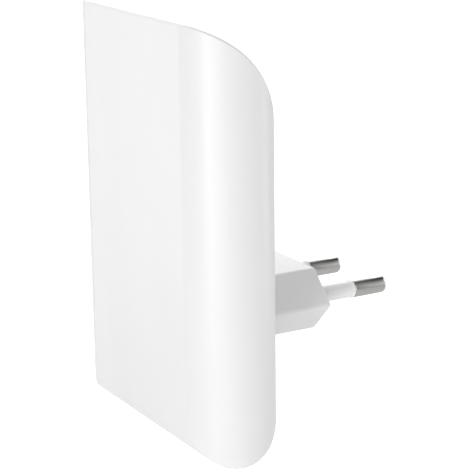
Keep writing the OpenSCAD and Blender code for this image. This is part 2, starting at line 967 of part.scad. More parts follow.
front_cover();
rear_cover();
rating_label();
case_screws();
plug_body();
plug_screws();
live_pin();
neutral_pin();
live_sleeve();
neutral_sleeve();
live_contact();
neutral_contact();
insulation_sheet();
power_board();
fuse();
line_choke();
bridge_rectifier();
input_capacitors();
transformer_core();
transformer_winding();
switching_chip();
optocoupler();
noise_capacitor();
output_capacitor();
board_header();
radio_board();
board_screws();
rf_shield();
processor_chip();
memory_chips();
crystal();
thermal_pad();
heat_spreader();
antenna_sockets();
antenna_left();
antenna_right();
antenna_lead_left();
antenna_lead_right();
status_light();
light_guide();
pairing_switch();
pairing_plunger();
pairing_button();
reset_switch();
reset_plunger();
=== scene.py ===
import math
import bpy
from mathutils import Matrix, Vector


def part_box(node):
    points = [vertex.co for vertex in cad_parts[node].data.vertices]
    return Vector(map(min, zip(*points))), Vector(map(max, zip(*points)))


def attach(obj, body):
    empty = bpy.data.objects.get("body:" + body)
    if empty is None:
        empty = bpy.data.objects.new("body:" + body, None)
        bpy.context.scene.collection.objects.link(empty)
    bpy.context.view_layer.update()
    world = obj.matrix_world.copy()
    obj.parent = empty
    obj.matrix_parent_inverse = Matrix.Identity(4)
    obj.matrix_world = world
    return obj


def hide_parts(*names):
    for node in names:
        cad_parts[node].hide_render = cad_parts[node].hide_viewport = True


bl_info = {
    "name": "Wifi Range Extender",
    "version": (1, 0, 0),
    "blender": (4, 5, 0),
    "location": "3D View > Sidebar > Extender",
    "description": "Builds the finished look of a plug-in wifi range extender",
    "category": "Object",
}

import bmesh
import bpy
from bpy.props import FloatProperty, FloatVectorProperty, PointerProperty
from mathutils import Matrix, Vector

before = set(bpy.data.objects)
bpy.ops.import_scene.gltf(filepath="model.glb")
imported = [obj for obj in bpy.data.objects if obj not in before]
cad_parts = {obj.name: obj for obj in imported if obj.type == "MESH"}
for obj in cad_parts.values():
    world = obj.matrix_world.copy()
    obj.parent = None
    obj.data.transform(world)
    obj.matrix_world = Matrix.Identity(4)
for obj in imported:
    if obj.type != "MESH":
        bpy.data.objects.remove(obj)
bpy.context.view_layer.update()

MM = 0.001
CASE_LOW, CASE_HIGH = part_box("front_cover")
FRONT = CASE_LOW.y
UNDER = CASE_LOW.z
CASE_W = CASE_HIGH.x - CASE_LOW.x
CASE_T = CASE_HIGH.y - CASE_LOW.y


# ---- Sizes and colours ----


def length(name, description, millimetres, low=0.01, high=200.0):
    return FloatProperty(name=name, description=description, default=millimetres * MM,
                         min=low * MM, max=high * MM, subtype="DISTANCE", unit="LENGTH")


def colour(name, description, rgb):
    return FloatVectorProperty(name=name, description=description, default=rgb, size=3,
                               min=0.0, max=1.0, subtype="COLOR")


class CaseSizes(bpy.types.PropertyGroup):
    wall: length("Wall", "Thickness of the case's wall", 2.0)
    under_front_r: length("Underside radius", "Radius where the underside meets the front", 7.8)
    slope_r: length("Slope radius", "Radius of the long slope at the top", 31.0)
    edge_r: length("Top edge radius", "Radius of the top front edge", 0.7)
    corner_r: length("Corner radius", "Radius where the sides meet the top and underside", 0.8)
    crease_turn: FloatProperty(
        name="Crease angle", description="Angle between the flat front and the start of a side",
        default=math.radians(6.0), min=0.0, max=math.radians(15.0), subtype="ANGLE")
    seam: length("Seam", "Gap around the rear cover", 0.15)
    back_grow: length("Rear cover overhang", "Reach of the rear cover past the flat back", 2.5)
    back_r: length("Rear cover corner", "Corner radius of the rear cover", 6.0)
    vent_w: length("Vent width", "Width of one vent slot", 1.4)


class PlugSizes(bpy.types.PropertyGroup):
    ridge_r: length("Ridge radius", "Radius along the plug's two side ridges", 0.9)
    edge_r: length("Edge radius", "Radius along the plug's long edges", 0.9)
    end_r: length("End radius", "Radius around the plug's end face", 0.55)
    wall: length("Wall", "Wall thickness of the plug's moulding", 1.6)
    end_wall: length("End wall", "Thickness of the plug's end", 3.0)
    flange_t: length("Flange", "Thickness of the flange behind the rear cover", 1.6)
    tip_r: length("Pin tip radius", "Radius of a pin's rounded tip", 1.2)


class ButtonSizes(bpy.types.PropertyGroup):
    cap_l: length("Button length", "Length of the pairing button", 12.0)
    cap_w: length("Button width", "Width of the pairing button", 5.0)
    gap: length("Button gap", "Gap around the pairing button", 0.2)
    edge_r: length("Button edge", "Radius around the button's edge", 0.35)
    pinhole: length("Pinhole", "Diameter of the reset pinhole", 1.6)
    guide: length("Light guide", "Diameter of the light guide", 2.6)


class Colours(bpy.types.PropertyGroup):
    shell: colour("Case", "Colour of the case", (0.803, 0.803, 0.808))
    plug: colour("Plug", "Colour of the plug's moulding", (0.77, 0.771, 0.773))
    sleeve: colour("Sleeves", "Colour of the pins' sleeves", (0.84, 0.842, 0.846))
    nickel: colour("Pins", "Colour of the pins' nickel", (0.50, 0.495, 0.485))
    button: colour("Button", "Colour of the pairing button", (0.70, 0.71, 0.73))
    label: colour("Label", "Colour of the blank label", (0.66, 0.68, 0.70))
    board: colour("Boards", "Colour of the boards' solder mask", (0.012, 0.115, 0.045))


# ---- Shape of the case ----
# Case places are x, depth behind the front face and height over the underside.


class CaseShape:
    """Outline of the case at a given depth, for the outside or for the hollow inside it."""

    def __init__(self, sizes, inset=0.0, corner=None):
        self.inset = inset
        self.front_r = sizes.under_front_r
        self.back_r = CASE_T - self.front_r
        self.side_r = CASE_T / 2
        self.flat_x = CASE_W / 2 - self.side_r
        self.slope_r = sizes.slope_r
        self.slope_y = CASE_T - self.slope_r
        self.edge_r = sizes.edge_r
        self.corner = sizes.corner_r if corner is None else corner
        self.crease = sizes.crease_turn if inset <= 0 else 0.0
        self.shallow = self.side_r * (1 - math.cos(self.crease))
        self.stretch = self.side_r / (self.side_r - self.shallow)
        reach = self.slope_r - self.edge_r
        rise = math.sqrt(reach ** 2 - (self.edge_r - self.slope_y) ** 2)
        self.slope_z = CASE_HIGH.z - UNDER - rise - self.edge_r
        self.edge_z = self.slope_z + rise
        self.meet_y = self.slope_y + (self.edge_r - self.slope_y) * self.slope_r / reach

    def depth(self, turn):
        """Depth on the round side. Its front half starts at the crease instead of at a tangent."""
        depth = self.side_r - (self.side_r - self.inset) * math.cos(turn)
        return max(depth - self.shallow, 0.0) * self.stretch if depth < self.side_r else depth

    def turn(self, depth):
        if depth < self.side_r:
            depth = depth / self.stretch + self.shallow
        share = (self.side_r - depth) / (self.side_r - self.inset)
        return math.acos(max(-1.0, min(1.0, share)))

    def half_width(self, turn):
        return self.flat_x + (self.side_r - self.inset) * math.sin(turn)

    def underside(self, depth):
        r = self.front_r if depth <= self.front_r else self.back_r
        across = self.front_r - depth
        return r - math.sqrt(max((r - self.inset) ** 2 - across ** 2, 0.0))

    def top(self, depth):
        if self.inset <= 0 and depth < self.meet_y:
            across = self.edge_r - depth
            return self.edge_z + math.sqrt(max(self.edge_r ** 2 - across ** 2, 0.0))
        across = depth - self.slope_y
        return self.slope_z + math.sqrt(max((self.slope_r - self.inset) ** 2 - across ** 2, 0.0))

    def corner_at(self, turn):
        return self.corner * max(0.08, min(1.0, 2.2 * math.sin(turn)))

    def point(self, turn, corner, angle):
        """Point on one of the four rounded corners of the section at this turn."""
        side, end = ((1, -1), (1, 1), (-1, 1), (-1, -1))[corner]
        r = self.corner_at(turn)
        depth = self.depth(turn)
        middle_z = self.underside(depth) + r if end < 0 else self.top(depth) - r
        middle_x = side * (self.half_width(turn) - r)
        return Vector((middle_x + r * math.cos(angle), depth, middle_z + r * math.sin(angle)))

    def normal(self, turn, corner, angle):
        step = 1e-5
        back, ahead = max(turn - step, self.crease), min(turn + step, math.pi)
        along = self.point(ahead, corner, angle) - self.point(back, corner, angle)
        across = Vector((-math.sin(angle), 0.0, math.cos(angle)))
        out = across.cross(along).normalized()
        return out

    def normal_at(self, place, on_front):
        """Outward direction of the outside at a place on it, or None away from it."""
        near = 2e-5
        x, depth, z = place
        if on_front:
            return Vector((0, -1, 0))
        if depth > CASE_T - near:
            return Vector((0, 1, 0))
        turn = self.turn(depth)
        r = self.corner_at(turn)
        low, high = self.underside(depth), self.top(depth)
        over_x = abs(x) - (self.half_width(turn) - r)
        over_z = max(low + r - z, z - (high - r))
        end = -1 if z < (low + high) / 2 else 1
        side = 1 if x >= 0 else -1
        if over_x > 0 and over_z > 0:
            if abs(math.hypot(over_x, over_z) - r) > near:
                return None
        elif abs((over_x if over_x > over_z else over_z) - r) > near:
            return None
        angle = math.atan2(max(over_z, 0.0) * end, max(over_x, 0.0) * side)
        corner = {(1, -1): 0, (1, 1): 1, (-1, 1): 2, (-1, -1): 3}[(side, end)]
        return self.normal(turn, corner, angle)


def from_case(place):
    return Vector((place[0], place[1] + FRONT, place[2] + UNDER))


def to_case(place):
    return Vector((place[0], place[1] - FRONT, place[2] - UNDER))


# ---- Mesh tools ----


def new_object(name, mesh):
    obj = bpy.data.objects.new(name, mesh)
    bpy.context.scene.collection.objects.link(obj)
    return obj


def loft(name, rings):
    """Closed shape through rings of equally many points, capped at both ends."""
    bm = bmesh.new()
    rows = [[bm.verts.new(p) for p in ring] for ring in rings]
    count = len(rows[0])
    for low, high in zip(rows, rows[1:]):
        for i in range(count):
            j = (i + 1) % count
            bm.faces.new((low[i], low[j], high[j], high[i]))
    bm.faces.new(list(reversed(rows[0])))
    bm.faces.new(rows[-1])
    bmesh.ops.recalc_face_normals(bm, faces=bm.faces)
    mesh = bpy.data.meshes.new(name)
    bm.to_mesh(mesh)
    bm.free()
    mesh.shade_smooth()
    return new_object(name, mesh)


def case_loft(name, shape, turns=None, corner_steps=6):
    """The whole case, or its hollow, as sections one behind the other."""
    if turns is None:
        edge = 0.44
        turns = [shape.crease + (edge - shape.crease) * i / 16 for i in range(16)]
        turns += [edge + (math.pi - edge) * i / 78 for i in range(79)]
    rings = []
    for turn in turns:
        ring = []
        for corner in range(4):
            start = math.pi / 2 * (corner - 1)
            for i in range(corner_steps + 1):
                angle = start + math.pi / 2 * i / corner_steps
                ring.append(from_case(shape.point(turn, corner, angle)))
        rings.append(ring)
    return loft(name, rings)


def round_outline(points, radii, steps=6):
    """Outline through corner points, counter-clockwise, each corner rounded by its radius."""
    out = []
    count = len(points)
    for i, point in enumerate(points):
        here = Vector(point)
        before = (Vector(points[i - 1]) - here).normalized()
        after = (Vector(points[(i + 1) % count]) - here).normalized()
        half = before.angle(after) / 2
        r = max(radii[i], 1e-6)
        middle = here + (before + after).normalized() * (r / math.sin(half))
        start = here + before * (r / math.tan(half)) - middle
        sweep = math.pi - 2 * half
        base = math.atan2(start.y, start.x)
        for k in range(steps + 1):
            angle = base + sweep * k / steps
            out.append((middle.x + r * math.cos(angle), middle.y + r * math.sin(angle)))
    return out


def box_outline(half_x, half_z, r, steps=6, x=0.0, z=0.0):
    r = min(r, half_x, half_z) * 0.999
    corners = ((half_x, -half_z), (half_x, half_z), (-half_x, half_z), (-half_x, -half_z))
    moved = [(x + a, z + b) for a, b in corners]
    return round_outline(moved, [r] * 4, steps)


def round_outline_of(r, x=0.0, z=0.0, count=48):
    return [(x + r * math.cos(math.tau * i / count), z + r * math.sin(math.tau * i / count))
            for i in range(count)]


def depth_bar(name, outline, start, end):
    """Bar along the depth, from an outline in width and height, in case places."""
    rings = [[from_case((x, depth, z)) for x, z in outline] for depth in (start, end)]
    return loft(name, rings)


def side_bar(name, outline, start, end):
    """Bar along the width, from an outline in depth and height, in case places."""
    rings = [[from_case((x, depth, z)) for depth, z in outline] for x in (start, end)]
    return loft(name, rings)


def rise_bar(name, outline, low, high):
    """Bar along the height, from an outline in width and depth, in case places."""
    rings = [[from_case((x, depth, z)) for x, depth in outline] for z in (low, high)]
    return loft(name, rings)


def joined(name, parts):
    """One mesh from several loose ones."""
    bm = bmesh.new()
    for part in parts:
        bm.from_mesh(part.data)
        bpy.data.objects.remove(part)
    mesh = bpy.data.meshes.new(name)
    bm.to_mesh(mesh)
    bm.free()
    return new_object(name, mesh)


def settle(obj):
    """Keeps the result of the object's modifiers as its mesh."""
    graph = bpy.context.evaluated_depsgraph_get()
    mesh = bpy.data.meshes.new_from_object(obj.evaluated_get(graph), depsgraph=graph)
    obj.modifiers.clear()
    obj.data = mesh
    mesh.name = obj.name
    return obj


def combine(obj, tool, operation):
    change = obj.modifiers.new(operation, "BOOLEAN")
    change.object = tool
    change.operation = operation
    change.solver = "EXACT"
    change.use_self = True
    settle(obj)
    bpy.data.objects.remove(tool)
    return obj


def cut(obj, *tools):
    return combine(obj, joined("cutters", tools) if len(tools) > 1 else tools[0], "DIFFERENCE")


def add(obj, *tools):
    for tool in tools:
        combine(obj, tool, "UNION")
    return obj


def keep_inside(obj, tool):
    return combine(obj, tool, "INTERSECT")


def tidy_mesh(obj, sharp=math.radians(28)):
    """Welds stray doubles and marks the sharp edges."""
    bm = bmesh.new()
    bm.from_mesh(obj.data)
    bmesh.ops.remove_doubles(bm, verts=bm.verts, dist=1e-6)
    bmesh.ops.dissolve_degenerate(bm, edges=bm.edges, dist=1e-6)
    bm.to_mesh(obj.data)
    bm.free()
    obj.data.shade_smooth()
    obj.data.set_sharp_from_angle(angle=sharp)
    return obj


def exact_normals(obj, shape):
    """Gives the case's curved surfaces the normals of the true shape."""
    mesh = obj.data
    found = []
    for face in mesh.polygons:
        places = [to_case(mesh.vertices[vertex].co) for vertex in face.vertices]
        on_front = max(place.y for place in places) < 0.01 * MM
        for place in places:
            normal = shape.normal_at(place, on_front)
            if normal is None or normal.dot(face.normal) < 0.85:
                normal = Vector((0, 0, 0))
            found.append(normal)
    mesh.normals_split_custom_set([tuple(n) for n in found])
    return obj


def turned(name, profile, x=0.0, z=0.0, count=64):
    """Round piece along the depth, from radii and depths in the frame."""
    rings = [[Vector((px, y, pz)) for px, pz in round_outline_of(r, x, z, count)]
             for r, y in profile]
    obj = loft(name, rings)
    obj.data.set_sharp_from_angle(angle=math.radians(50))
    return obj


def bent(r, middle_r, middle_y, start, end, steps=6):
    """Points of a round edge in a turned piece's profile."""
    return [(middle_r + r * math.cos(start + (end - start) * k / steps),
             middle_y + r * math.sin(start + (end - start) * k / steps))
            for k in range(steps + 1)]


def loose_boxes(node):
    """Lowest and highest corners, in case places, of each separate solid in a CAD node."""
    bm = bmesh.new()
    bm.from_mesh(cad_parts[node].data)
    bmesh.ops.remove_doubles(bm, verts=bm.verts, dist=1e-6)
    left = set(bm.verts)
    boxes = []
    while left:
        stack = [left.pop()]
        island = []
        while stack:
            vert = stack.pop()
            island.append(to_case(vert.co))
            for edge in vert.link_edges:
                other = edge.other_vert(vert)
                if other in left:
                    left.remove(other)
                    stack.append(other)
        low = Vector([min(p[i] for p in island) for i in range(3)])
        high = Vector([max(p[i] for p in island) for i in range(3)])
        boxes.append((low, high))
    bm.free()
    return sorted(boxes, key=lambda b: (round(b[0].z, 5), round(b[0].x, 5)))


def case_box(node):
    low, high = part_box(node)
    return to_case(low), to_case(high)


def middle(box):
    return (box[0] + box[1]) / 2


# ---- Case pieces ----


PAST = 1.0 * MM
FIT = 0.05 * MM

# Case screws: depth of the seat, hole and head radii, and the towers and bosses around them
SEAT_DEPTH = 2.4 * MM
SEAT_FLOOR = 1.4 * MM
SCREW_R = 1.15 * MM
HEAD_R = 2.35 * MM
TOWER_R = 3.0 * MM
BOSS_R = 2.6 * MM
BOSS_FOOT = 0.6 * MM
BOSS_STEP = 0.5 * MM

# Radio board's posts and the antennas' ribs
POST_R = 2.2 * MM
POST_HOLE_R = 0.95 * MM
RIB_HALF_W = 0.6 * MM
RIB_R = 0.2 * MM
RIB_SHARES = (0.2, 0.8)

# Openings in the left side: their depth and the gap around the light guide
SIDE_REACH = 5 * MM
GUIDE_GAP = 0.06 * MM

# Vents: pitch, half length and place under the case and through the rear cover
UNDER_VENT_PITCH = 4.0 * MM
UNDER_VENT_HALF_L = 3.5 * MM
BACK_VENT_PITCH = 3.2 * MM
BACK_VENT_HALF_L = 10 * MM
BACK_VENT_HALF_W = 0.7 * MM
BACK_VENT_RISE = 6.2 * MM

# Snap tabs of the rear cover: places over the plug's centre, half sizes and depth
TAB_RISES = (12 * MM, 27 * MM)
TAB_HALF_T = 0.55 * MM
TAB_HALF_L = 3 * MM
CATCH_HALF_T = 1.0 * MM
CATCH_HALF_L = 2 * MM
CATCH_BACK = 0.1 * MM
TAB_R = 0.2 * MM
CATCH_R = 0.3 * MM
TAB_DEPTH = 2.6 * MM
TAB_ROOT = 0.5 * MM
CATCH_DEPTH = 1.6 * MM

# Screws through the plug's flange: holes in the rear cover and in the flange
PLUG_SCREW_HOLE_R = 1.0 * MM
PLUG_SCREW_FLOOR = 0.6 * MM
FLANGE_HOLE_R = 1.05 * MM

# Plug: corner of the flange, and the towers and bores of the pins
FLANGE_R = 1.2 * MM
PIN_TOWER_R = 3.2 * MM
PIN_TOWER_L = 4.5 * MM
PIN_BORE_R = 1.55 * MM
PIN_CORE_R = 1.5 * MM


def back_outline(sizes, grow):
    low, high = case_box("rear_cover")
    half_z = (high.z - low.z) / 2
    half_x = CASE_W / 2 - CASE_T / 2 + sizes.back_grow
    return box_outline(half_x + grow, half_z + grow, sizes.back_r + grow, 12, z=low.z + half_z)


def vent_cutters(sizes):
    """Slots with round ends under the case."""
    centre = sizes.under_front_r + PAST + UNDER_VENT_HALF_L
    half_w = sizes.vent_w / 2
    slots = []
    for i in range(-3, 4):
        outline = [(x + i * UNDER_VENT_PITCH, depth + centre)
                   for x, depth in box_outline(half_w, UNDER_VENT_HALF_L, half_w)]
        slots.append(rise_bar("vent", outline, -PAST, sizes.wall + 2 * PAST))
    return slots


def side_cutters(button):
    """Openings in the left side for the button, the reset pin and the light guide."""
    start, end = -CASE_W / 2 - PAST, -CASE_W / 2 + SIDE_REACH
    at = middle(case_box("pairing_button"))
    gap = button.gap
    outline = [(a + at.y, b + at.z) for a, b in
               box_outline(button.cap_w / 2 + gap, button.cap_l / 2 + gap, button.cap_w, 12)]
    cutters = [side_bar("button_hole", outline, start, end)]
    for node, r in (("reset_plunger", button.pinhole / 2),
                    ("light_guide", button.guide / 2 + GUIDE_GAP)):
        at = middle(case_box(node))
        cutters.append(side_bar(node + "_hole", round_outline_of(r, at.y, at.z), start, end))
    return cutters


def inner_bosses(sizes):
    """Bosses, posts and ribs on the inside of the front wall, and the holes in them."""
    start = sizes.wall / 2
    power_low, power_high = case_box("power_board")
    radio_low = case_box("radio_board")[0]
    solids, steps, holes = [], [], []
    for box in loose_boxes("case_screws"):
        at = middle(box)
        through_radio = at.z > power_high.z
        base = BOSS_R + (BOSS_FOOT if through_radio else 0.0)
        end = radio_low.y if through_radio else power_low.y
        outline = round_outline_of(base, at.x, at.z, 40)
        solids.append(depth_bar("boss", outline, start, end - FIT))
        if through_radio:
            outline = round_outline_of(BOSS_R - BOSS_STEP, at.x, at.z, 40)
            steps.append(depth_bar("boss_step", outline, start, power_high.y - FIT))
        outline = round_outline_of(SCREW_R, at.x, at.z, 32)
        holes.append(depth_bar("hole", outline, sizes.wall, CASE_T + PAST))
    for box in loose_boxes("board_screws"):
        at = middle(box)
        outline = round_outline_of(POST_R, at.x, at.z, 40)
        solids.append(depth_bar("post", outline, start, radio_low.y - FIT))
        outline = round_outline_of(POST_HOLE_R, at.x, at.z, 32)
        holes.append(depth_bar("hole", outline, sizes.wall, radio_low.y + PAST))
    for node in ("antenna_left", "antenna_right"):
        low, high = case_box(node)
        for share in RIB_SHARES:
            x = low.x + (high.x - low.x) * share
            outline = box_outline(RIB_HALF_W, (high.z - low.z) / 2 - PAST, RIB_R, 3,
                                  x, (low.z + high.z) / 2)
            solids.append(depth_bar("rib", outline, start, low.y - FIT))
    return solids, steps, holes


def build_front_shell(sizes, button):
    shape = CaseShape(sizes)
    hollow_turns = [math.pi * i / 40 for i in range(41)]
    shell = case_loft("front_shell", shape)
    hollow_shape = CaseShape(sizes, inset=sizes.wall, corner=0.6 * MM)
    cut(shell, case_loft("hollow", hollow_shape, hollow_turns, 3))
    start = CASE_T - sizes.wall - PAST
    cut(shell, depth_bar("back_opening", back_outline(sizes, sizes.seam), start, CASE_T + PAST),
        *vent_cutters(sizes), *side_cutters(button))
    solids, steps, holes = inner_bosses(sizes)
    add(shell, joined("bosses", solids), joined("boss_steps", steps))
    cut(shell, *holes)
    tidy_mesh(shell)
    return exact_normals(shell, shape)


def plug_size():
    """Half width and half height of the plug's end face."""
    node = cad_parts["plug_body"]
    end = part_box("plug_body")[1].y
    face = [v.co for v in node.data.vertices if v.co.y > end - 0.02 * MM]
    return max(abs(p.x) for p in face), max(abs(p.z) for p in face)


def plug_outline(plug, inset, steps=6):
    """Six-sided outline of the plug, moved in by the inset, with rounded corners."""
    half_x, half_z = plug_size()
    rise = half_z - inset
    ridge = half_x - inset * math.sqrt(2)
    corner = ridge - rise
    points = [(ridge, 0), (corner, rise), (-corner, rise), (-ridge, 0), (-corner, -rise),
              (corner, -rise)]
    ridge_r = max(plug.ridge_r - inset, 0.1 * MM)
    edge_r = max(plug.edge_r - inset, 0.1 * MM)
    return round_outline(points, [ridge_r, edge_r, edge_r] * 2, steps)


def plug_bar(name, plug, inset, start, end):
    """Bar with the plug's outline, between two depths in the frame."""
    rings = [[Vector((x, y, z)) for x, z in plug_outline(plug, inset)] for y in (start, end)]
    return loft(name, rings)


def build_rear_shell(sizes, plug):
    shape = CaseShape(sizes)
    shell = case_loft("rear_shell", shape)
    inner_t = CASE_T - sizes.wall
    keep_inside(shell, depth_bar("block", back_outline(sizes, 0.0), inner_t, CASE_T + PAST))
    towers, holes = [], []
    seat = CASE_T - SEAT_DEPTH
    power_back = case_box("power_board")[1].y
    for box in loose_boxes("case_screws"):
        at = middle(box)
        start = power_back + FIT if at.z < plug_z() else seat - SEAT_FLOOR
        ring = round_outline_of(TOWER_R, at.x, at.z, 48)
        towers.append(depth_bar("tower", ring, start, inner_t + sizes.wall / 2))
        head = round_outline_of(HEAD_R, at.x, at.z, 48)
        holes.append(depth_bar("head_hole", head, seat, CASE_T + PAST))
        shank = round_outline_of(SCREW_R + 2 * FIT, at.x, at.z, 48)
        holes.append(depth_bar("shank_hole", shank, start - PAST, seat + 0.5 * PAST))
    half_x = CASE_W / 2 - CASE_T / 2 + sizes.back_grow
    tabs = []
    for side in (-1, 1):
        for rise in TAB_RISES:
            z = plug_z() + rise
            outline = box_outline(TAB_HALF_T, TAB_HALF_L, TAB_R, 3,
                                  side * (half_x - TAB_HALF_T), z)
            tabs.append(depth_bar("tab", outline, inner_t - TAB_DEPTH, inner_t + TAB_ROOT))
            outline = box_outline(CATCH_HALF_T, CATCH_HALF_L, CATCH_R, 3,
                                  side * (half_x - CATCH_BACK), z)
            tabs.append(depth_bar("catch", outline, inner_t - TAB_DEPTH, inner_t - CATCH_DEPTH))
    add(shell, joined("towers", towers), joined("tabs", tabs))
    flange_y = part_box("plug_body")[0].y
    opening = plug_bar("opening", plug, -0.1 * MM, flange_y, -CASE_T * 0.5)
    vents = []
    first = plug_z() + plug_size()[1] + BACK_VENT_RISE
    for i in range(3):
        outline = box_outline(BACK_VENT_HALF_L, BACK_VENT_HALF_W, BACK_VENT_HALF_W, 6,
                              z=first + i * BACK_VENT_PITCH + BACK_VENT_HALF_W)
        vents.append(depth_bar("vent", outline, inner_t - PAST, CASE_T + PAST))
    label_low, label_high = case_box("rating_label")
    outline = box_outline(label_high.x + FIT, (label_high.z - label_low.z) / 2 + FIT, 2 * FIT, 3,
                          z=(label_high.z + label_low.z) / 2)
    recess = depth_bar("recess", outline, label_low.y, CASE_T + PAST)
    cut(shell, opening)
    cut(shell, *holes)
    cut(shell, recess, *vents)
    for box in loose_boxes("plug_screws"):
        at = middle(box)
        outline = round_outline_of(PLUG_SCREW_HOLE_R, at.x, at.z, 32)
        cut(shell, depth_bar("plug_hole", outline, inner_t - PAST, CASE_T - PLUG_SCREW_FLOOR))
    tidy_mesh(shell)
    return exact_normals(shell, shape)


def plug_z():
    """Height of the plug's centre over the underside."""
    return -UNDER


# ---- Plug pieces ----


def build_plug(plug):
    low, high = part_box("plug_body")
    back, face = low.y, high.y
    rings = [(0.0, y) for y in (back + 0.3 * MM, back + plug.flange_t + 2 * PAST,
                                face - plug.end_r)]
    for k in range(1, 9):
        angle = math.pi / 2 * k / 8
        rings.append((plug.end_r * (1 - math.cos(angle)),
                      face - plug.end_r + plug.end_r * math.sin(angle)))
    body = loft("plug_moulding", [[Vector((x, y, z)) for x, z in plug_outline(plug, inset, 8)]
                                  for inset, y in rings])
    outline = box_outline(-low.x, -low.z, FLANGE_R, 6)
    flange = loft("flange", [[Vector((x, y, z)) for x, z in outline]
                             for y in (back, back + plug.flange_t)])
    add(body, flange)
    cut(body, plug_bar("hollow", plug, plug.wall, back - PAST, face - plug.end_wall))
    towers, bores = [], []
    for node in ("live_pin", "neutral_pin"):
        x = middle(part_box(node)).x
        collar_low, collar_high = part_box(node.replace("pin", "sleeve"))
        recess_r = (collar_high.x - collar_low.x) / 2 + FIT
        recess_y = collar_low.y - FIT
        towers.append(turned("tower", [(PIN_TOWER_R, face - PIN_TOWER_L),
                                       (PIN_TOWER_R, face - plug.end_wall / 2)], x))
        bores.append(turned("bore", [(PIN_BORE_R, face - PIN_TOWER_L - PAST),
                                     (PIN_BORE_R, recess_y), (recess_r, recess_y),
                                     (recess_r, face + PAST)], x))
    add(body, joined("towers", towers))
    for box in loose_boxes("plug_screws"):
        at = from_case(middle(box))
        bores.append(turned("screw_bore", [(FLANGE_HOLE_R, back - PAST),
                                           (FLANGE_HOLE_R, back + plug.flange_t + 0.4 * MM)],
                            at.x, at.z, 32))
    cut(body, *bores)
    return tidy_mesh(body, math.radians(32))


def build_pin(name, node, plug):
    """Turned pin: a thin core under the sleeve and a full bare end with a rounded tip."""
    low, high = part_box(node)
    r = (high.x - low.x) / 2
    core = PIN_CORE_R
    sleeve_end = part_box(node.replace("pin", "sleeve"))[1].y + FIT
    chamfer = 0.3 * MM
    dome = 0.14 * MM
    tip = plug.tip_r
    profile = [(0.2 * MM, low.y), (core - chamfer, low.y), (core, low.y + chamfer),
               (core, sleeve_end), (r - 0.12 * MM, sleeve_end), (r, sleeve_end + 0.12 * MM)]
    for k in range(9):
        angle = math.pi / 2 * k / 8
        profile.append((r - tip + tip * math.cos(angle),
                        high.y - tip + (tip - dome) * math.sin(angle)))
    for share in (0.75, 0.5, 0.25, 0.05):
        profile.append(((r - tip) * share, high.y - dome * share ** 2))
    return turned(name, profile, (low.x + high.x) / 2)


def build_sleeve(name, node):
    """Insulating sleeve with a collar at the plug and a fine raised ring at its end."""
    low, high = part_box(node)
    collar = (high.x - low.x) / 2
    body, ring, bore = 1.85 * MM, 2.0 * MM, 1.53 * MM
    soft = 0.12 * MM
    collar_l, ring_l = 0.6 * MM - low.y, 0.6 * MM
    profile = [(bore, low.y), (collar, low.y), (collar, low.y + collar_l - soft)]
    profile += bent(soft, collar - soft, low.y + collar_l - soft, 0, math.pi / 2, 4)
    profile += [(body + soft, low.y + collar_l), (body, low.y + collar_l + soft)]
    start = high.y - ring_l
    profile += [(body, start - soft), (body + 0.03 * MM, start)]
    profile += bent(soft, ring - soft, start + soft, -math.pi / 2, 0, 4)
    profile += bent(soft, ring - soft, high.y - soft, 0, math.pi / 2, 4)
    profile += [(bore, high.y)]
    x = (low.x + high.x) / 2
    rings = [[Vector((px, y, pz)) for px, pz in round_outline_of(r, x, 0.0, 64)]
             for r, y in profile]
    obj = loft(name, rings)
    bm = bmesh.new()
    bm.from_mesh(obj.data)
    ends = [f for f in bm.faces if len(f.verts) > 4]
    bmesh.ops.delete(bm, geom=ends, context="FACES_ONLY")
    edges = [e for e in bm.edges if e.is_boundary]
    bmesh.ops.bridge_loops(bm, edges=edges)
    bmesh.ops.recalc_face_normals(bm, faces=bm.faces)
    bm.to_mesh(obj.data)
    bm.free()
    obj.data.shade_smooth()
    obj.data.set_sharp_from_angle(angle=math.radians(40))
    return obj


def build_button(sizes, button):
    """Obround cap that follows the side, a flange behind the wall and a post."""
    low, high = case_box("pairing_button")
    at = middle((low, high))
    side_r = CASE_T / 2
    flat_x = CASE_W / 2 - side_r
    proud = -CASE_W / 2 - low.x
    half_w, half_l = button.cap_w / 2, button.cap_l / 2
    flange_w, flange_l = (high.y - low.y) / 2, (high.z - low.z) / 2
    flange_out = flat_x + math.sqrt((side_r - sizes.wall) ** 2 - flange_w ** 2) - button.gap
    soft = button.edge_r
    post_r = 1.4 * MM

    def ring(shrink, drop=0.0, x=None, w=half_w, l=half_l):
        points = []
        for a, b in box_outline(w - shrink, l - shrink, w - shrink, 16):
            across = side_r + proud - drop
            out = x if x is not None else -flat_x - math.sqrt(across ** 2 - a ** 2)
            points.append(from_case((out, at.y + a, at.z + b)))
        return points

    rings = [ring(half_w * share) for share in (0.96, 0.7, 0.45)]
    for k in range(7):
        angle = math.pi / 2 * k / 6
        rings.append(ring(soft * (1 - math.sin(angle)), soft * (1 - math.cos(angle))))
    face = -flange_out
    rings.append(ring(0.0, x=face))
    rings.append(ring(0.0, x=face, w=flange_w - soft / 2, l=flange_l - soft / 2))
    rings.append(ring(0.0, x=face + soft / 2, w=flange_w, l=flange_l))
    rings.append(ring(0.0, x=face + PAST, w=flange_w, l=flange_l))
    rings.append(ring(0.0, x=face + PAST, w=post_r, l=post_r * 1.001))
    rings.append(ring(0.0, x=high.x, w=post_r, l=post_r * 1.001))
    cap = loft("button_cap", rings)
    cap.data.set_sharp_from_angle(angle=math.radians(35))
    return cap


# ---- Shader expressions ----


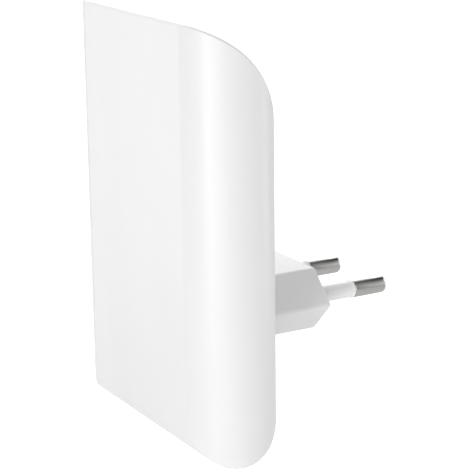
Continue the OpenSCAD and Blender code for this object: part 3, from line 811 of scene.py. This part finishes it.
class Value:
    """A shader socket that can be used in Python expressions."""

    def __init__(self, graph, socket):
        self.graph = graph
        self.socket = socket

    def math(self, operation, *others):
        inputs = dict(enumerate((self,) + others))
        return self.graph.node("ShaderNodeMath", {"operation": operation}, inputs)

    def __add__(self, other):
        return self.math("ADD", other)

    __radd__ = __add__

    def __mul__(self, other):
        return self.math("MULTIPLY", other)

    __rmul__ = __mul__

    def __sub__(self, other):
        return self.math("SUBTRACT", other)

    def __rsub__(self, other):
        return self.graph.node("ShaderNodeMath", {"operation": "SUBTRACT"}, {0: other, 1: self})

    def __truediv__(self, other):
        return self.math("DIVIDE", other)

    def __gt__(self, other):
        return self.math("GREATER_THAN", other)

    def __lt__(self, other):
        return self.math("LESS_THAN", other)

    def __abs__(self):
        return self.math("ABSOLUTE")

    def __mod__(self, other):
        return self.math("FLOORED_MODULO", other)

    def smooth(self, low, high):
        """0 below low, 1 above high and a soft step between them."""
        return self.graph.node("ShaderNodeMapRange", {"interpolation_type": "SMOOTHSTEP"},
                               {"Value": self, "From Min": low, "From Max": high}, "Result")


class Graph:
    """Node tree of a new material, or of a new world, under construction."""

    def __init__(self, name, blocks=None):
        self.block = (bpy.data.materials if blocks is None else blocks).new(name)
        self.block.use_nodes = True
        self.nodes = self.block.node_tree.nodes
        self.links = self.block.node_tree.links
        self.nodes.clear()

    def node(self, kind, settings=None, inputs=None, output=0):
        made = self.nodes.new(kind)
        for name, setting in (settings or {}).items():
            if name == "stops":
                while len(made.color_ramp.elements) < len(setting):
                    made.color_ramp.elements.new(1.0)
                for element, (position, rgb) in zip(made.color_ramp.elements, setting):
                    element.position = position
                    element.color = (*rgb, 1.0)
            else:
                setattr(made, name, setting)
        for name, value in (inputs or {}).items():
            if isinstance(value, Value):
                self.links.new(value.socket, made.inputs[name])
            elif value is not None:
                made.inputs[name].default_value = value
        return Value(self, made.outputs[output])

    def place(self):
        return self.node("ShaderNodeTexCoord", output="Object")

    def axes(self, place=None):
        split = self.node("ShaderNodeSeparateXYZ", None, {0: place or self.place()})
        outputs = split.socket.node.outputs
        return tuple(Value(self, outputs[i]) for i in range(3))

    def scaled(self, place, scale):
        return self.node("ShaderNodeVectorMath", {"operation": "MULTIPLY"}, {0: place, 1: scale})

    def noise(self, place, scale, detail=2.0, roughness=0.5, distortion=0.0):
        return self.node("ShaderNodeTexNoise", None,
                         {"Vector": place, "Scale": scale, "Detail": detail,
                          "Roughness": roughness, "Distortion": distortion})

    def cells(self, place, scale, feature="F1"):
        return self.node("ShaderNodeTexVoronoi", {"feature": feature},
                         {"Vector": place, "Scale": scale}, "Distance")

    def mix(self, share, first, second, blend="MIX"):
        made = self.node("ShaderNodeMix", {"data_type": "RGBA", "blend_type": blend},
                         {0: share, 6: first if isinstance(first, Value) else (*first, 1.0),
                          7: second if isinstance(second, Value) else (*second, 1.0)}, 2)
        return made

    def bump(self, height, distance, strength=1.0, under=None):
        return self.node("ShaderNodeBump", None,
                         {"Height": height, "Distance": distance, "Strength": strength,
                          "Normal": under})

    def finish(self, **sockets):
        """Principled surface; a name's underscores stand for spaces."""
        shader = self.nodes.new("ShaderNodeBsdfPrincipled")
        for name, value in sockets.items():
            socket = shader.inputs[name.replace("_", " ")]
            if isinstance(value, Value):
                self.links.new(value.socket, socket)
            elif isinstance(value, tuple):
                socket.default_value = (*value, 1.0) if len(value) == 3 else value
            else:
                socket.default_value = value
        out = self.nodes.new("ShaderNodeOutputMaterial")
        self.links.new(shader.outputs[0], out.inputs[0])
        return self.block


def shade(rgb, factor):
    return tuple(max(0.0, min(1.0, c * factor)) for c in rgb)


# ---- Finishes ----


def moulded(name, rgb, roughness=0.38, grain=5200.0, depth=0.010 * MM, coat=0.0):
    """Moulded plastic: fine spark texture, slow flow marks, faint rub marks and specks of dust."""
    g = Graph(name)
    place = g.place()
    texture = g.noise(place, grain, 3.0, 0.55)
    flow = g.noise(g.scaled(place, (1.0, 1.0, 0.35)), 60.0, 2.0, 0.5, 0.4)
    rub = g.noise(g.scaled(place, (1.0, 1.0, 7.0)), 420.0, 3.0, 0.6, 0.3).smooth(0.60, 0.78)
    speck = 1 - g.cells(place, 260.0).smooth(0.012, 0.035)
    tone = g.mix(flow.smooth(0.25, 0.75), shade(rgb, 0.985), shade(rgb, 1.012))
    tone = g.mix(rub * 0.25, tone, shade(rgb, 0.96))
    tone = g.mix(speck * 0.22, tone, shade(rgb, 0.72))
    rough = roughness + (texture - 0.5) * 0.10 + (flow - 0.5) * 0.05 + rub * 0.05
    surface = g.bump(texture, depth, 0.55)
    surface = g.bump(flow, 0.03 * MM, 0.25, surface)
    return g.finish(Base_Color=tone, Roughness=rough, Normal=surface, IOR=1.49,
                    Coat_Weight=coat, Coat_Roughness=0.25)


def plated(name, rgb, roughness=0.24, axis=1, lines=9000.0, wear=0.35):
    """Turned or stamped metal with plating: fine tool lines, smudges and light wear."""
    g = Graph(name)
    place = g.place()
    stretch = [0.08, 0.08, 0.08]
    stretch[axis] = 1.0
    tool = g.noise(g.scaled(place, tuple(stretch)), lines, 2.0, 0.6)
    smudge = g.noise(place, 330.0, 3.0, 0.6, 0.5)
    scratch = g.noise(g.scaled(place, tuple(1.08 - s for s in stretch)), 2600.0, 2.0, 0.7)
    scratch = scratch.smooth(0.68, 0.80)
    tone = g.mix(smudge.smooth(0.35, 0.75) * wear, rgb, shade(rgb, 0.80))
    tone = g.mix(scratch * 0.35, tone, shade(rgb, 1.18))
    rough = roughness + (smudge - 0.5) * 0.16 + (tool - 0.5) * 0.10 + scratch * 0.08
    surface = g.bump(tool, 0.004 * MM, 0.5)
    surface = g.bump(scratch, 0.004 * MM, 0.4, surface)
    return g.finish(Base_Color=tone, Roughness=rough, Metallic=1.0, Normal=surface)


def paper(name, rgb):
    """Blank foil label: satin print with faint fibres."""
    g = Graph(name)
    place = g.place()
    fibre = g.noise(g.scaled(place, (1.0, 1.0, 0.3)), 2400.0, 3.0, 0.65)
    cloud = g.noise(place, 150.0, 2.0)
    x, _, _ = g.axes(place)
    border = abs(x).smooth(10.3 * MM, 10.4 * MM) * (1 - abs(x).smooth(10.6 * MM, 10.7 * MM))
    tone = g.mix(fibre * 0.3 + cloud * 0.2, rgb, shade(rgb, 0.90))
    tone = g.mix(border * 0.55, tone, shade(rgb, 0.45))
    return g.finish(Base_Color=tone, Roughness=0.42 + (fibre - 0.5) * 0.15,
                    Normal=g.bump(fibre, 0.004 * MM, 0.5))


def circuit(name, rgb):
    """Board: solder mask over copper runs, with pads and weave."""
    g = Graph(name)
    place = g.place()
    x, _, z = g.axes(place)
    bend = g.noise(place, 90.0, 0.0)
    run_x = 1 - abs((x + bend * 3 * MM) % (1.6 * MM) - 0.8 * MM).smooth(0.18 * MM, 0.24 * MM)
    run_z = 1 - abs((z + bend * 3 * MM) % (2.1 * MM) - 1.05 * MM).smooth(0.20 * MM, 0.26 * MM)
    area = g.noise(place, 160.0, 1.0).smooth(0.48, 0.52)
    run = run_x * area + run_z * (1 - area)
    pad = 1 - g.cells(place, 240.0).smooth(0.10, 0.13)
    weave = g.noise(g.scaled(place, (1.0, 0.2, 1.0)), 3800.0, 1.0)
    tone = g.mix(run, rgb, shade(rgb, 1.9))
    tone = g.mix(weave * 0.25, tone, shade(rgb, 0.6))
    tone = g.mix(pad, tone, (0.62, 0.60, 0.56))
    height = run * 0.6 + pad + weave * 0.1
    return g.finish(Base_Color=tone, Roughness=0.34 - pad * 0.08 + weave * 0.06,
                    Metallic=pad * 0.9, Normal=g.bump(height, 0.03 * MM, 0.7))


def mottled(name, rgb, roughness, scale=2600.0, depth=0.01 * MM, contrast=0.12, **constants):
    """Plain small part with fine grain and slow colour drift."""
    g = Graph(name)
    place = g.place()
    grain = g.noise(place, scale, 4.0, 0.6)
    drift = g.noise(place, 240.0, 2.0)
    tone = g.mix(drift.smooth(0.3, 0.7), shade(rgb, 1 - contrast), shade(rgb, 1 + contrast))
    tone = g.mix(grain.smooth(0.35, 0.85) * 0.3, tone, shade(rgb, 1 - 2 * contrast))
    return g.finish(Base_Color=tone, Roughness=roughness + (grain - 0.5) * 0.14,
                    Normal=g.bump(grain, depth, 0.6), **constants)


def wound(name, rgb, pitch, axis, roughness=0.3, metallic=0.0):
    """Turns of wire or tape, side by side along an axis, with painted shade in the grooves between
    turns.
    """
    g = Graph(name)
    place = g.place()
    along = g.axes(place)[axis]
    turn = abs(along % pitch - pitch / 2) / (pitch / 2)
    fray = g.noise(place, 900.0, 3.0, 0.6)
    # Painted shade: each turn is darkened towards its edges, in the grooves between turns.
    tone = g.mix(turn.smooth(0.55, 1.0), rgb, shade(rgb, 0.35))
    tone = g.mix(fray.smooth(0.45, 0.75) * 0.35, tone, shade(rgb, 0.72))
    return g.finish(Base_Color=tone, Roughness=roughness + fray * 0.12, Metallic=metallic,
                    Normal=g.bump(1 - turn.smooth(0.2, 1.0) + fray * 0.1, pitch / 3, 0.8))


def sleeved(name, rgb):
    """Shrink sleeve of a can capacitor, with a bare metal top."""
    g = Graph(name)
    place = g.place()
    y = g.axes(place)[1]
    grain = g.noise(place, 1800.0, 3.0)
    top = 1 - y.smooth(CAPACITOR_TOP, CAPACITOR_TOP + 0.12 * MM)
    tone = g.mix(grain * 0.25, rgb, shade(rgb, 0.7))
    tone = g.mix(top, tone, (0.62, 0.63, 0.64))
    return g.finish(Base_Color=tone, Roughness=0.26 + grain * 0.12 + top * 0.1,
                    Metallic=top * 0.9, Normal=g.bump(grain, 0.01 * MM, 0.5))


def clear(name, rgb, roughness):
    """Clear moulded plastic with faint flow lines."""
    g = Graph(name)
    flow = g.noise(g.scaled(g.place(), (0.2, 1.0, 1.0)), 900.0, 2.0)
    tone = g.mix(flow * 0.4, rgb, shade(rgb, 0.92))
    return g.finish(Base_Color=tone, Roughness=roughness + flow * 0.06, IOR=1.49,
                    Transmission_Weight=0.85, Normal=g.bump(flow, 0.01 * MM, 0.3))


CAPACITOR_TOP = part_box("input_capacitors")[0].y + 0.15 * MM


# ---- Operators ----


def ready(obj, material, slot, *nodes, body="case"):
    obj.data.materials.clear()
    obj.data.materials.append(material)
    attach(obj, body)
    if nodes:
        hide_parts(*nodes)
    return obj


def refinish(material, *nodes):
    """Gives CAD nodes whose shape is right a better material."""
    for node in nodes:
        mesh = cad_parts[node].data
        mesh.materials.clear()
        mesh.materials.append(material)


class EXTENDER_OT_front_shell(bpy.types.Operator):
    """Deep front shell with round sides, vents, side openings and inner bosses"""
    bl_idname = "extender.front_shell"
    bl_label = "Front shell"

    def execute(self, context):
        scene = context.scene
        shell = build_front_shell(scene.extender_case, scene.extender_button)
        ready(shell, moulded("shell_plastic", tuple(scene.extender_colours.shell)),
              "white_shell", "front_cover")
        return {"FINISHED"}


class EXTENDER_OT_rear_shell(bpy.types.Operator):
    """Rear cover with its towers, tabs, vents and label recess"""
    bl_idname = "extender.rear_shell"
    bl_label = "Rear shell"

    def execute(self, context):
        scene = context.scene
        shell = build_rear_shell(scene.extender_case, scene.extender_plug)
        rgb = shade(scene.extender_colours.shell, 0.98)
        ready(shell, moulded("rear_plastic", rgb, 0.46, 3600.0, 0.016 * MM),
              "white_shell_back", "rear_cover")
        refinish(paper("label_foil", tuple(scene.extender_colours.label)), "rating_label")
        return {"FINISHED"}


class EXTENDER_OT_plug(bpy.types.Operator):
    """Six-sided plug moulding with its flange and pin towers"""
    bl_idname = "extender.plug"
    bl_label = "Plug"

    def execute(self, context):
        scene = context.scene
        body = build_plug(scene.extender_plug)
        ready(body, moulded("plug_plastic", tuple(scene.extender_colours.plug), 0.42, 4300.0),
              "plug_white", "plug_body")
        return {"FINISHED"}


class EXTENDER_OT_pins(bpy.types.Operator):
    """Both pins and their insulating sleeves"""
    bl_idname = "extender.pins"
    bl_label = "Pins"

    def execute(self, context):
        scene = context.scene
        colours = scene.extender_colours
        metal = plated("pin_plating", tuple(colours.nickel), 0.17, wear=0.12)
        plastic = moulded("sleeve_plastic", tuple(colours.sleeve), 0.34, 6000.0, 0.006 * MM)
        for side in ("live", "neutral"):
            pin = build_pin(side + "_blade", side + "_pin", scene.extender_plug)
            ready(pin, metal, "pin_nickel", side + "_pin")
            sleeve = build_sleeve(side + "_cover", side + "_sleeve")
            ready(sleeve, plastic, "sleeve_grey", side + "_sleeve")
        return {"FINISHED"}


class EXTENDER_OT_side_controls(bpy.types.Operator):
    """Pairing button, plungers, switches and the light guide on the left side"""
    bl_idname = "extender.side_controls"
    bl_label = "Side controls"

    def execute(self, context):
        scene = context.scene
        cap = build_button(scene.extender_case, scene.extender_button)
        rgb = tuple(scene.extender_colours.button)
        ready(cap, moulded("button_plastic", rgb, 0.32, 5200.0, 0.006 * MM), "button_grey",
              "pairing_button", body="pairing_button")
        refinish(mottled("plunger_plastic", (0.42, 0.33, 0.18), 0.4),
                 "pairing_plunger", "reset_plunger")
        refinish(mottled("switch_plastic", (0.035, 0.037, 0.04), 0.45),
                 "pairing_switch", "reset_switch")
        refinish(clear("guide_plastic", (0.92, 0.96, 0.97), 0.12), "light_guide")
        refinish(clear("lens_plastic", (0.80, 0.92, 0.84), 0.2), "status_light")
        return {"FINISHED"}


class EXTENDER_OT_fixings(bpy.types.Operator):
    """Screws of the case, the plug and the radio board"""
    bl_idname = "extender.fixings"
    bl_label = "Fixings"

    def execute(self, context):
        steel = plated("screw_steel_finish", (0.50, 0.51, 0.53), 0.3, 1, 7000.0, 0.5)
        refinish(steel, "case_screws", "plug_screws", "board_screws")
        return {"FINISHED"}


class EXTENDER_OT_power_supply(bpy.types.Operator):
    """Power board and the parts on it"""
    bl_idname = "extender.power_supply"
    bl_label = "Power supply"

    def execute(self, context):
        rgb = tuple(context.scene.extender_colours.board)
        refinish(circuit("power_mask", rgb), "power_board")
        refinish(plated("contact_strip", (0.72, 0.52, 0.22), 0.3, 2, 5000.0, 0.6),
                 "live_contact", "neutral_contact")
        refinish(mottled("sheet_film", (0.80, 0.74, 0.55), 0.35, 1500.0), "insulation_sheet")
        refinish(mottled("fuse_ceramic", (0.68, 0.62, 0.45), 0.3, 2000.0), "fuse")
        refinish(wound("choke_wire", (0.60, 0.25, 0.09), 0.35 * MM, 1, 0.28, 0.8), "line_choke")
        refinish(mottled("epoxy_black", (0.022, 0.022, 0.024), 0.5, 4200.0, 0.008 * MM),
                 "bridge_rectifier", "switching_chip", "optocoupler", "board_header",
                 "processor_chip", "memory_chips")
        refinish(sleeved("can_sleeve_blue", (0.02, 0.05, 0.13)), "input_capacitors")
        refinish(sleeved("can_sleeve_black", (0.03, 0.032, 0.036)), "output_capacitor")
        refinish(mottled("ferrite_grey", (0.045, 0.043, 0.042), 0.55, 3000.0, 0.03 * MM),
                 "transformer_core")
        refinish(wound("winding_wrap", (0.72, 0.50, 0.06), 1.7 * MM, 1, 0.22),
                 "transformer_winding")
        refinish(mottled("disc_lacquer", (0.03, 0.16, 0.42), 0.25, 800.0, 0.03 * MM),
                 "noise_capacitor")
        return {"FINISHED"}


class EXTENDER_OT_radio(bpy.types.Operator):
    """Radio board, its shield, heat spreader and antennas"""
    bl_idname = "extender.radio"
    bl_label = "Radio"

    def execute(self, context):
        rgb = tuple(context.scene.extender_colours.board)
        refinish(circuit("radio_mask", shade(rgb, 0.9)), "radio_board")
        refinish(plated("shield_tin_finish", (0.66, 0.67, 0.68), 0.28, 0, 3000.0, 0.5),
                 "rf_shield", "crystal")
        refinish(mottled("pad_silicone", (0.26, 0.35, 0.47), 0.7, 1800.0, 0.02 * MM),
                 "thermal_pad")
        refinish(plated("spreader_finish", (0.60, 0.61, 0.63), 0.36, 2, 4000.0, 0.4),
                 "heat_spreader")
        refinish(plated("socket_gold", (0.80, 0.58, 0.24), 0.22, 1, 9000.0, 0.3),
                 "antenna_sockets")
        refinish(circuit("antenna_mask", (0.34, 0.16, 0.06)), "antenna_left", "antenna_right")
        refinish(mottled("lead_jacket", (0.06, 0.065, 0.07), 0.4, 2500.0),
                 "antenna_lead_left", "antenna_lead_right")
        return {"FINISHED"}


# ---- Stage ----


AZIMUTH = math.radians(60.33)
ELEVATION = math.radians(14.6)
ROLL = math.radians(-0.68)
DISTANCE = 407.52 * MM
TARGET = Vector((-20.17, 0.0, 9.73)) * MM
LENS = 134.6
SENSOR_W = 36.0
SHIFT = (-0.0197, -0.0229)


def direction(azimuth, elevation):
    return Vector((math.sin(azimuth) * math.cos(elevation),
                   -math.cos(azimuth) * math.cos(elevation), math.sin(elevation)))


def soft_light(name, azimuth, elevation, distance, width, height, power):
    """Rectangular soft light that faces the object."""
    data = bpy.data.lights.new(name, "AREA")
    data.shape = "RECTANGLE"
    data.size, data.size_y = width, height
    data.energy = power
    obj = bpy.data.objects.new(name, data)
    away = direction(math.radians(azimuth), math.radians(elevation))
    obj.location = (CASE_LOW + CASE_HIGH) / 2 + away * distance
    obj.rotation_mode = "QUATERNION"
    obj.rotation_quaternion = away.to_track_quat("Z", "Y")
    bpy.context.scene.collection.objects.link(obj)
    return obj


# Name, azimuth and elevation in degrees, distance, width and height in metres, power in watts
LIGHTS = (
    ("front_right_light", 32.0, 8.0, 0.80, 0.20, 0.80, 3.50),
    ("edge_light", 46.0, 8.0, 0.80, 0.06, 0.60, 0.466),
    ("low_edge_light", 58.0, -8.0, 0.80, 0.05, 0.35, 0.564),
    ("left_light", -65.0, 8.0, 0.80, 0.20, 0.80, 0.95),
    ("back_light", 175.0, 8.0, 0.80, 0.20, 0.80, 1.618),
    ("pin_light", -140.0, 42.0, 0.80, 0.30, 0.45, 0.60),
)
# Soft parts of the room's light: azimuth and elevation in degrees, strength
GLOWS = (
    (-120.0, 10.0, 1.816),
    (-75.0, 10.0, 0.396),
    (60.0, 10.0, 0.205),
    (105.0, 10.0, 0.631),
    (150.0, 10.0, 1.08),
    (-90.0, 48.0, 2.71),
    (90.0, 48.0, 0.392),
)
GLOW_SPREAD = 8.0
FLOOR_GLOW = 0.37
FLOOR_HALF = 6.0
FLOOR_DROP = 0.30


def studio_world():
    """Room light made of wide soft glows, with a plain white room behind them."""
    g = Graph("studio", bpy.data.worlds)
    toward = g.node("ShaderNodeTexCoord", output="Generated")
    light = 0.0
    for azimuth, elevation, strength in GLOWS:
        aim = direction(math.radians(azimuth), math.radians(elevation))
        facing = g.node("ShaderNodeVectorMath", {"operation": "DOT_PRODUCT"},
                        {0: toward, 1: tuple(aim)}, "Value")
        light = facing.math("MAXIMUM", 0.0).math("POWER", GLOW_SPREAD) * strength + light
    seen = g.node("ShaderNodeLightPath", output="Is Camera Ray")
    background = g.node("ShaderNodeBackground", None,
                        {"Color": (1.0, 1.0, 1.0, 1.0), "Strength": light * (1 - seen) + seen})
    out = g.nodes.new("ShaderNodeOutputWorld")
    g.links.new(background.socket, out.inputs["Surface"])
    return g.block


class EXTENDER_OT_stage(bpy.types.Operator):
    """Pale floor, soft studio light and the camera"""
    bl_idname = "extender.stage"
    bl_label = "Stage"

    def execute(self, context):
        scene = context.scene
        scene.view_settings.view_transform = "Standard"
        g = Graph("floor_paint")
        place = g.place()
        cloud = g.noise(place, 6.0, 2.0)
        seen = g.node("ShaderNodeLightPath", output="Is Camera Ray")
        floor_material = g.finish(Base_Color=g.mix(cloud * 0.2, (0.45, 0.45, 0.45),
                                                   (0.44, 0.44, 0.445)),
                                  Roughness=0.8, Emission_Strength=1.0,
                                  Emission_Color=g.mix(seen, (FLOOR_GLOW,) * 3, (1.0,) * 3))
        z = UNDER - FLOOR_DROP
        corners = ((-1, -1), (1, -1), (1, 1), (-1, 1))
        mesh = bpy.data.meshes.new("floor")
        mesh.from_pydata([(x * FLOOR_HALF, y * FLOOR_HALF, z) for x, y in corners], [],
                         [(0, 1, 2, 3)])
        floor = new_object("floor", mesh)
        mesh.materials.append(floor_material)
        scene.world = studio_world()
        for light in LIGHTS:
            soft_light(*light)
        data = bpy.data.cameras.new("camera")
        data.lens = LENS
        data.sensor_width = SENSOR_W
        data.shift_x, data.shift_y = SHIFT
        data.clip_start, data.clip_end = 0.01, 30.0
        camera = bpy.data.objects.new("camera", data)
        scene.collection.objects.link(camera)
        back = direction(AZIMUTH, ELEVATION)
        level = Vector((math.cos(AZIMUTH), math.sin(AZIMUTH), 0.0))
        up = back.cross(level)
        right = level * math.cos(ROLL) + up * math.sin(ROLL)
        top = up * math.cos(ROLL) - level * math.sin(ROLL)
        turn = Matrix((right, top, back)).transposed()
        camera.matrix_world = Matrix.Translation(TARGET + back * DISTANCE) @ turn.to_4x4()
        scene.camera = camera
        return {"FINISHED"}


class EXTENDER_PT_panel(bpy.types.Panel):
    """Builders and sizes of the range extender"""
    bl_idname = "EXTENDER_PT_panel"
    bl_label = "Range Extender"
    bl_space_type = "VIEW_3D"
    bl_region_type = "UI"
    bl_category = "Extender"

    def draw(self, context):
        layout = self.layout
        for group, settings in (("Case", context.scene.extender_case),
                                ("Plug", context.scene.extender_plug),
                                ("Button", context.scene.extender_button),
                                ("Colours", context.scene.extender_colours)):
            box = layout.box()
            box.label(text=group)
            for name in settings.__annotations__:
                box.prop(settings, name)
        for operator in OPERATORS:
            layout.operator(operator.bl_idname)


GROUPS = {"extender_case": CaseSizes, "extender_plug": PlugSizes,
          "extender_button": ButtonSizes, "extender_colours": Colours}
OPERATORS = (EXTENDER_OT_front_shell, EXTENDER_OT_rear_shell, EXTENDER_OT_plug,
             EXTENDER_OT_pins, EXTENDER_OT_side_controls, EXTENDER_OT_fixings,
             EXTENDER_OT_power_supply, EXTENDER_OT_radio, EXTENDER_OT_stage)


def register():
    for cls in (*GROUPS.values(), *OPERATORS, EXTENDER_PT_panel):
        bpy.utils.register_class(cls)
    for name, group in GROUPS.items():
        setattr(bpy.types.Scene, name, PointerProperty(type=group))


def unregister():
    for name in GROUPS:
        delattr(bpy.types.Scene, name)
    for cls in (EXTENDER_PT_panel, *reversed(OPERATORS), *GROUPS.values()):
        bpy.utils.unregister_class(cls)


def main():
    register()
    for operator in OPERATORS:
        group, name = operator.bl_idname.split(".")
        getattr(getattr(bpy.ops, group), name)()


if __name__ == "__main__":
    main()
